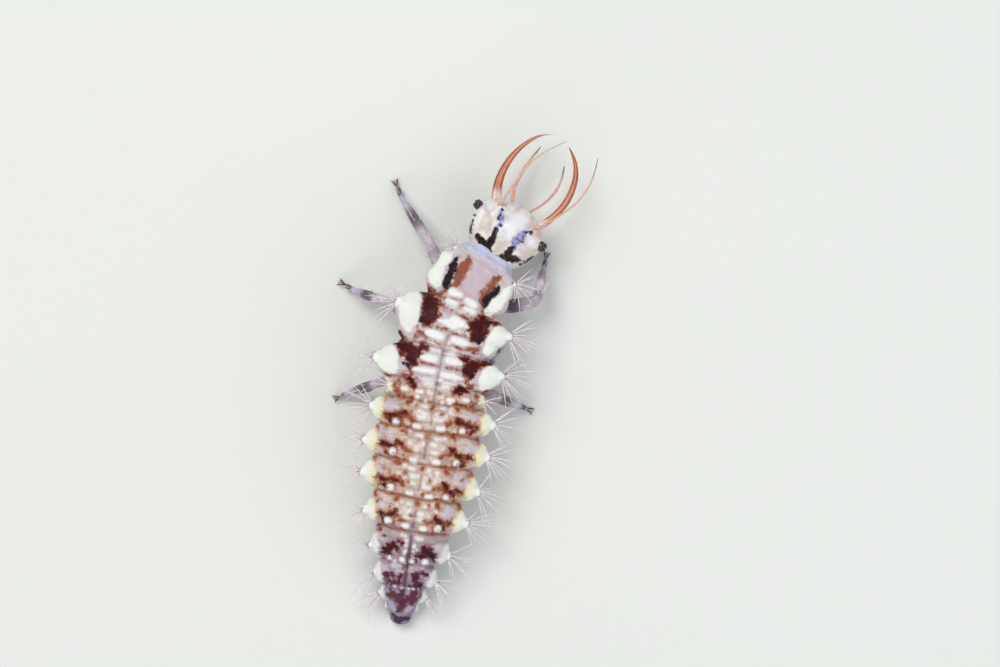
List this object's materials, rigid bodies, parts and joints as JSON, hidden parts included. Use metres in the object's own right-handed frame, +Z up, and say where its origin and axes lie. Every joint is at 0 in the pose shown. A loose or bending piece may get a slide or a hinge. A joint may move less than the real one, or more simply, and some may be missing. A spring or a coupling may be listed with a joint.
{
  "type": "green lacewing larva",
  "caption": "Larva of a green lacewing at life size, standing: tapering segmented body with pale side lobes, splayed legs, and a flat head with open sickle jaws.",
  "frame": {"origin": "on the floor, under the middle of the bounding box", "axes": "+Z up out of the back, +Y forward along the body to the head, +X to the animal's right"},
  "size_m": [0.0052, 0.0114, 0.0019],
  "materials": {
    "body_skin": "soft, moist insect skin, cream and pink with maroon and rust-brown marks",
    "tail_skin": "soft insect skin, grey-lavender with dark maroon marks",
    "head_shell": "smooth, faintly glossy cream cuticle with dark bands",
    "eye": "polished black lenses",
    "jaw": "polished red-brown horn",
    "feeler": "translucent pink-tan cuticle, smoky at the tips",
    "leg": "translucent grey-pink cuticle with dark bands"
  },
  "bodies": {
    "root": {"abdomen_10": "tail_skin", "abdomen_9": "tail_skin", "abdomen_8": "tail_skin", "abdomen_7": "body_skin", "abdomen_6": "body_skin", "abdomen_5": "body_skin", "abdomen_4": "body_skin", "abdomen_3": "body_skin", "abdomen_2": "body_skin", "abdomen_1": "body_skin", "metathorax": "body_skin", "mesothorax": "body_skin", "prothorax": "body_skin", "neck": "body_skin", "head": "head_shell", "eye_left": "eye", "eye_right": "eye", "jaw_left": "jaw", "jaw_right": "jaw", "antenna_left": "feeler", "antenna_right": "feeler", "palp_left": "feeler", "palp_right": "feeler", "leg_front_left": "leg", "leg_front_right": "leg", "leg_middle_left": "leg", "leg_middle_right": "leg", "leg_hind_left": "leg", "leg_hind_right": "leg"}
  },
  "joints": []
}
